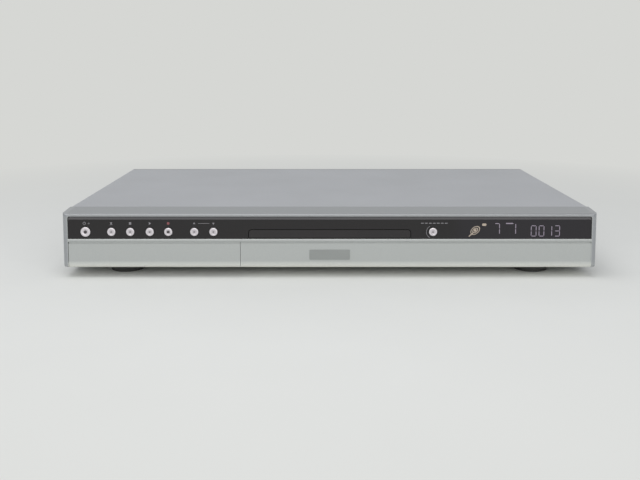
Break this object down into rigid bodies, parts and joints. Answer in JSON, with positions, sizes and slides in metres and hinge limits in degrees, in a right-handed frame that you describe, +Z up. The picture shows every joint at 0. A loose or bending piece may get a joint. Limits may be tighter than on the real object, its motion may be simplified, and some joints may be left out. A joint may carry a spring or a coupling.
{
  "type": "dvd vcr combo player",
  "caption": "Slim full-width disc recorder with a loading tray, smoked front window, flap over the front sockets, press buttons and rear sockets.",
  "frame": {"origin": "on the surface the feet stand on, in the middle of the overall width and depth", "axes": "+X to the right as seen from the front, +Y to the rear, +Z up"},
  "size_m": [0.4336, 0.275, 0.054],
  "materials": {
    "case_paint": "satin",
    "zinc_sheet": "satin",
    "fascia_plastic": "satin metallic paint",
    "screw_steel": "satin",
    "foot_plastic": "matte",
    "smoked_acrylic": "gloss",
    "tray_front_plastic": "gloss",
    "button_plating": "plated",
    "circuit_board": "satin",
    "switch_plastic": "matte",
    "display_glass": "gloss",
    "black_plastic": "matte",
    "nickel_plate": "bright",
    "yellow_plastic": "gloss",
    "white_plastic": "satin",
    "red_plastic": "gloss",
    "green_plastic": "gloss",
    "blue_plastic": "gloss",
    "belt_rubber": "matte",
    "ferrite": "matte",
    "capacitor_sleeve": "satin",
    "sink_aluminium": "satin",
    "lens_glass": "gloss"
  },
  "bodies": {
    "case": {"top_cover": "case_paint", "bottom_chassis": "zinc_sheet", "rear_panel": "zinc_sheet", "screws": "screw_steel", "feet": "foot_plastic", "front_frame": "fascia_plastic", "display_window": "smoked_acrylic", "badge_plate": "fascia_plastic", "front_boards": "circuit_board", "tact_switches": "switch_plastic", "display_module": "display_glass", "front_jack_bracket": "black_plastic", "jack_barrels": "nickel_plate", "black_jacks": "black_plastic", "yellow_jacks": "yellow_plastic", "white_jacks": "white_plastic", "red_jacks": "red_plastic", "green_jacks": "green_plastic", "blue_jacks": "blue_plastic", "tuner_module": "nickel_plate", "ac_inlet": "black_plastic", "fan_frame": "black_plastic", "drive_frame": "black_plastic", "clamp_bridge": "zinc_sheet", "loading_belt": "belt_rubber", "loading_motor": "nickel_plate", "power_board": "circuit_board", "main_board": "circuit_board", "power_transformer": "ferrite", "power_capacitors": "capacitor_sleeve", "main_chips": "black_plastic", "heat_sink": "sink_aluminium"},
    "flap": {"flap_door": "fascia_plastic"},
    "power_button": {"power_button": "button_plating"},
    "open_close_button": {"open_close_button": "button_plating"},
    "stop_button": {"stop_button": "button_plating"},
    "play_button": {"play_button": "button_plating"},
    "record_button": {"record_button": "button_plating"},
    "channel_down_button": {"channel_down_button": "button_plating"},
    "channel_up_button": {"channel_up_button": "button_plating"},
    "select_button": {"select_button": "button_plating"},
    "tray": {"disc_tray": "black_plastic", "tray_front": "tray_front_plastic"},
    "drive_gear": {"drive_gear": "white_plastic"},
    "pulley_gear": {"pulley_gear": "white_plastic"},
    "motor_pulley": {"motor_pulley": "white_plastic"},
    "cam": {"cam_slider": "white_plastic"},
    "traverse": {"lift_frame": "black_plastic", "dampers": "belt_rubber", "traverse_plate": "zinc_sheet", "guide_rods": "nickel_plate", "spindle_motor": "nickel_plate", "sled_motor": "nickel_plate"},
    "turntable": {"turntable": "black_plastic"},
    "clamper": {"clamper": "white_plastic"},
    "sled": {"pickup_sled": "black_plastic", "pickup_lens": "lens_glass"},
    "sled_gear": {"sled_gear": "white_plastic"},
    "sled_pinion": {"sled_pinion": "white_plastic"},
    "fan_rotor": {"fan_rotor": "black_plastic"}
  },
  "joints": [
    {"name": "flap_hinge", "type": "hinge", "parent": "case", "child": "flap", "pos_m": [-0.1412, -0.1326, 0.0125], "axis": [1, 0, 0], "range_deg": [0, 90]},
    {"name": "power_button_press", "type": "slide", "parent": "case", "child": "power_button", "axis": [0, 1, 0], "range_m": [0, 0.0008], "stiffness_N_per_m": 800},
    {"name": "open_close_button_press", "type": "slide", "parent": "case", "child": "open_close_button", "axis": [0, 1, 0], "range_m": [0, 0.0008], "stiffness_N_per_m": 800},
    {"name": "stop_button_press", "type": "slide", "parent": "case", "child": "stop_button", "axis": [0, 1, 0], "range_m": [0, 0.0008], "stiffness_N_per_m": 800},
    {"name": "play_button_press", "type": "slide", "parent": "case", "child": "play_button", "axis": [0, 1, 0], "range_m": [0, 0.0008], "stiffness_N_per_m": 800},
    {"name": "record_button_press", "type": "slide", "parent": "case", "child": "record_button", "axis": [0, 1, 0], "range_m": [0, 0.0008], "stiffness_N_per_m": 800},
    {"name": "channel_down_button_press", "type": "slide", "parent": "case", "child": "channel_down_button", "axis": [0, 1, 0], "range_m": [0, 0.0008], "stiffness_N_per_m": 800},
    {"name": "channel_up_button_press", "type": "slide", "parent": "case", "child": "channel_up_button", "axis": [0, 1, 0], "range_m": [0, 0.0008], "stiffness_N_per_m": 800},
    {"name": "select_button_press", "type": "slide", "parent": "case", "child": "select_button", "axis": [0, 1, 0], "range_m": [0, 0.0008], "stiffness_N_per_m": 800},
    {"name": "tray_slide", "type": "slide", "parent": "case", "child": "tray", "axis": [0, -1, 0], "range_m": [0, 0.14]},
    {"name": "drive_gear_spin", "type": "hinge", "parent": "case", "child": "drive_gear", "pos_m": [0.046, -0.098, 0.0299], "axis": [0, 0, 1], "continuous": true},
    {"name": "pulley_gear_spin", "type": "hinge", "parent": "case", "child": "pulley_gear", "pos_m": [0.026, -0.098, 0.0299], "axis": [0, 0, 1], "continuous": true},
    {"name": "motor_pulley_spin", "type": "hinge", "parent": "case", "child": "motor_pulley", "pos_m": [-0.048, -0.0995, 0.0325], "axis": [0, 0, 1], "continuous": true},
    {"name": "traverse_tilt", "type": "hinge", "parent": "case", "child": "traverse", "pos_m": [0, 0.044, 0.022], "axis": [1, 0, 0], "range_deg": [0, 4.5]},
    {"name": "cam_slide", "type": "slide", "parent": "case", "child": "cam", "axis": [1, 0, 0], "range_m": [0, 0.0161]},
    {"name": "turntable_spin", "type": "hinge", "parent": "traverse", "child": "turntable", "pos_m": [0, -0.065, 0.0366], "axis": [0, 0, 1], "continuous": true},
    {"name": "clamper_spin", "type": "hinge", "parent": "case", "child": "clamper", "pos_m": [0, -0.065, 0.0415], "axis": [0, 0, 1], "continuous": true},
    {"name": "sled_slide", "type": "slide", "parent": "traverse", "child": "sled", "axis": [0, 1, 0], "range_m": [0, 0.034]},
    {"name": "sled_gear_spin", "type": "hinge", "parent": "traverse", "child": "sled_gear", "pos_m": [0.0366, 0.008, 0.0303], "axis": [0, 0, 1], "continuous": true},
    {"name": "sled_pinion_spin", "type": "hinge", "parent": "traverse", "child": "sled_pinion", "pos_m": [0.0346, 0.01933, 0.0307], "axis": [0, 0, 1], "continuous": true},
    {"name": "fan_spin", "type": "hinge", "parent": "case", "child": "fan_rotor", "pos_m": [-0.172, 0.1208, 0.0305], "axis": [0, 1, 0], "continuous": true}
  ],
  "couplings": [
    {"joint": "drive_gear_spin", "follows": "tray_slide", "rad_per_m": -125},
    {"joint": "pulley_gear_spin", "follows": "tray_slide", "rad_per_m": 500},
    {"joint": "motor_pulley_spin", "follows": "tray_slide", "rad_per_m": 1516.7},
    {"joint": "cam_slide", "follows": "traverse_tilt", "m_per_rad": 0.20372},
    {"joint": "clamper_spin", "follows": "turntable_spin", "ratio": 1},
    {"joint": "sled_gear_spin", "follows": "sled_slide", "rad_per_m": -277.78},
    {"joint": "sled_pinion_spin", "follows": "sled_slide", "rad_per_m": 1000}
  ]
}
